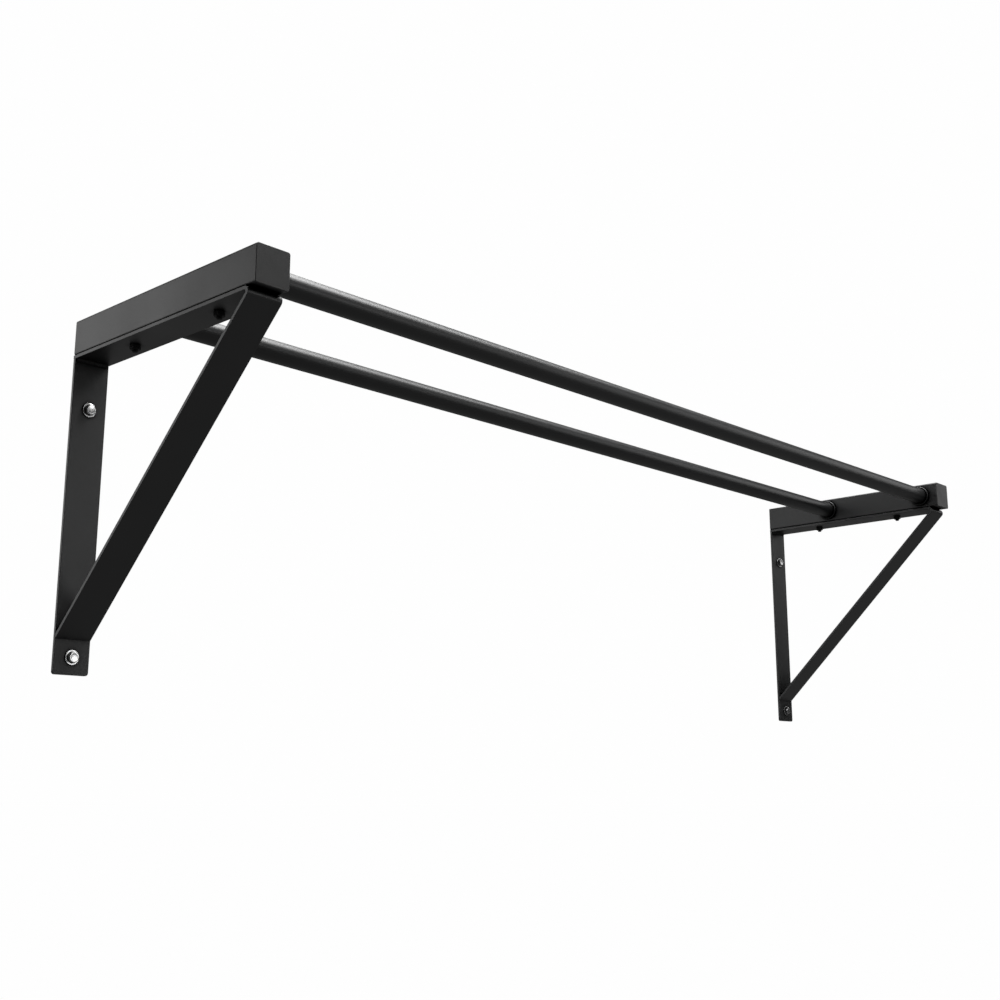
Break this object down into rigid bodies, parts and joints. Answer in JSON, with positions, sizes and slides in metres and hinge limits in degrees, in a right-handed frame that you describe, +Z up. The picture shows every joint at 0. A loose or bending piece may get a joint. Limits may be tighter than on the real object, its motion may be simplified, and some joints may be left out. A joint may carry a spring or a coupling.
{
  "type": "pull up bar",
  "caption": "Wall-mounted pull-up bar: parallel round bars between square box arms, each arm on a triangular flat-steel bracket bolted to the wall.",
  "frame": {"origin": "centre of the four wall fixings, on the wall plane", "axes": "+X along the bars to the right as a user faces the wall, +Y into the wall, +Z up"},
  "size_m": [1.811, 0.4164, 0.4871],
  "materials": {
    "bracket_coating": "fine matte black powder coat",
    "arm_coating": "fine matte black powder coat",
    "weld_coating": "powder coat over a weld bead",
    "bar_coating": "satin black coat, smooth",
    "collar_coating": "satin black coat",
    "zinc_plate": "bright zinc plate",
    "bare_steel": "zinc-plated mild steel",
    "black_fastener": "black oxide",
    "cap_plastic": "matte black, fine moulded grain"
  },
  "bodies": {
    "root": {"front_bar": "bar_coating", "left_arm_bolts": "black_fastener", "left_arm_front_cap": "cap_plastic", "left_arm_nuts": "black_fastener", "left_arm_rear_plug": "cap_plastic", "left_arm_sleeves": "bare_steel", "left_arm_tube": "arm_coating", "left_bar_inserts": "black_fastener", "left_bar_set_screws": "black_fastener", "left_brace_foot_weld": "weld_coating", "left_brace_strip": "bracket_coating", "left_corner_weld": "weld_coating", "left_front_collar": "collar_coating", "left_lower_wall_bolt": "zinc_plate", "left_lower_wall_washer": "zinc_plate", "left_rear_collar": "collar_coating", "left_upper_wall_bolt": "zinc_plate", "left_upper_wall_washer": "zinc_plate", "left_wall_leg": "bracket_coating", "rear_bar": "bar_coating", "right_arm_bolts": "black_fastener", "right_arm_front_cap": "cap_plastic", "right_arm_nuts": "black_fastener", "right_arm_rear_plug": "cap_plastic", "right_arm_sleeves": "bare_steel", "right_arm_tube": "arm_coating", "right_bar_inserts": "black_fastener", "right_bar_set_screws": "black_fastener", "right_brace_foot_weld": "weld_coating", "right_brace_strip": "bracket_coating", "right_corner_weld": "weld_coating", "right_front_collar": "collar_coating", "right_lower_wall_bolt": "zinc_plate", "right_lower_wall_washer": "zinc_plate", "right_rear_collar": "collar_coating", "right_upper_wall_bolt": "zinc_plate", "right_upper_wall_washer": "zinc_plate", "right_wall_leg": "bracket_coating"}
  },
  "joints": []
}
